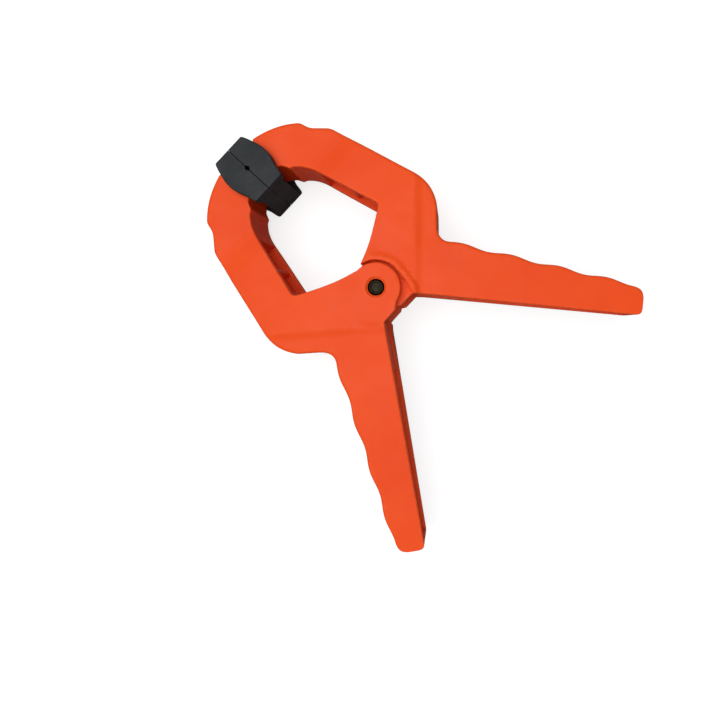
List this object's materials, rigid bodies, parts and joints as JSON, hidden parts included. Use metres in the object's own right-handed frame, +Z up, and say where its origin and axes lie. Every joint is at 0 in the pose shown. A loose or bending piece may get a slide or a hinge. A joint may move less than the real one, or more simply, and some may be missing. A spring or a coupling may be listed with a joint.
{
  "type": "spring clamp",
  "caption": "Spring clamp with two moulded arms on a pivot pin, a torsion spring that presses the jaws shut and swivelling jaw pads.",
  "frame": {"origin": "middle of the footprint, on the surface the clamp lies on with its back face down", "axes": "+Z up through the thickness and along the pivot, +Y from the pivot towards the jaws, +X towards the right-hand arm"},
  "size_m": [0.1316, 0.1498, 0.028],
  "materials": {
    "orange_nylon": "satin moulded",
    "pad_plastic": "matt moulded",
    "dark_steel": "blackened",
    "black_nylon": "matt moulded",
    "spring_steel": "drawn wire"
  },
  "bodies": {
    "left_arm": {"arm_left": "orange_nylon", "pivot_pin": "dark_steel", "spring_bush": "black_nylon", "torsion_spring": "spring_steel", "pad_pin_left": "dark_steel"},
    "right_arm": {"arm_right": "orange_nylon", "pad_pin_right": "dark_steel"},
    "left_pad": {"pad_left": "pad_plastic"},
    "right_pad": {"pad_right": "pad_plastic"}
  },
  "joints": [
    {"name": "jaw_hinge", "type": "hinge", "parent": "left_arm", "child": "right_arm", "pos_m": [0, 0.00259, 0.014], "axis": [0, 0, -1], "range_deg": [0, 50], "stiffness_Nm_per_rad": 1.8, "springref_deg": -34.38, "deforming": ["torsion_spring"]},
    {"name": "left_pad_swivel", "type": "hinge", "parent": "left_arm", "child": "left_pad", "pos_m": [-0.006, 0.06459, 0.014], "axis": [0, 0, -1], "range_deg": [0, 25]},
    {"name": "right_pad_swivel", "type": "hinge", "parent": "right_arm", "child": "right_pad", "pos_m": [0.006, 0.06459, 0.014], "axis": [0, 0, -1], "range_deg": [-25, 0]}
  ],
  "couplings": [
    {"joint": "left_pad_swivel", "follows": "jaw_hinge", "ratio": 0.5},
    {"joint": "right_pad_swivel", "follows": "jaw_hinge", "ratio": -0.5}
  ]
}
